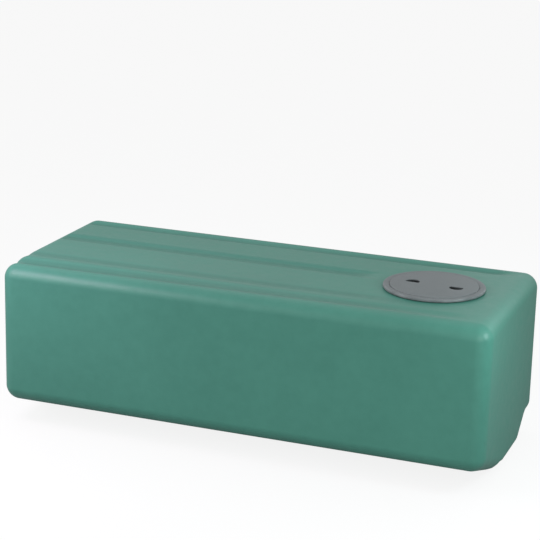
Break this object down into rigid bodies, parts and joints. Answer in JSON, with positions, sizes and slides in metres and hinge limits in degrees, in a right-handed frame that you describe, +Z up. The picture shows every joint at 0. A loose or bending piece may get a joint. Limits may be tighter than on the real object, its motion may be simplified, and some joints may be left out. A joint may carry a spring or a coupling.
{
  "type": "moulded plastic water tank",
  "caption": "Long rounded moulded plastic water tank with lengthwise grooves in its top, a keeled underside, and a round screw-in inspection hatch near its right end.",
  "frame": {"origin": "on the surface the tank stands on, under the middle of its length and width", "axes": "+X along the tank towards the hatch, +Y to the back, +Z up"},
  "size_m": [1, 0.416, 0.3435],
  "materials": {
    "tank_plastic": "satin blue-green rotomoulded polyethylene",
    "hatch_plastic": "mid-grey moulded plastic",
    "seal_rubber": "black rubber"
  },
  "bodies": {
    "tank": {"floor_pan": "tank_plastic", "front_wall": "tank_plastic", "back_wall": "tank_plastic", "tank_top": "tank_plastic", "left_end": "tank_plastic", "right_end": "tank_plastic", "hatch_gasket": "seal_rubber", "hatch_ring": "hatch_plastic"},
    "seal": {"lid_seal": "seal_rubber"},
    "lid": {"hatch_lid": "hatch_plastic"}
  },
  "joints": [
    {"name": "lid_lift", "type": "slide", "parent": "tank", "child": "seal", "axis": [0, 0, 1], "range_m": [0, 0.24]},
    {"name": "lid_turn", "type": "hinge", "parent": "seal", "child": "lid", "pos_m": [0.336, 0, 0.336], "axis": [0, 0, 1], "range_deg": [0, 360]}
  ]
}
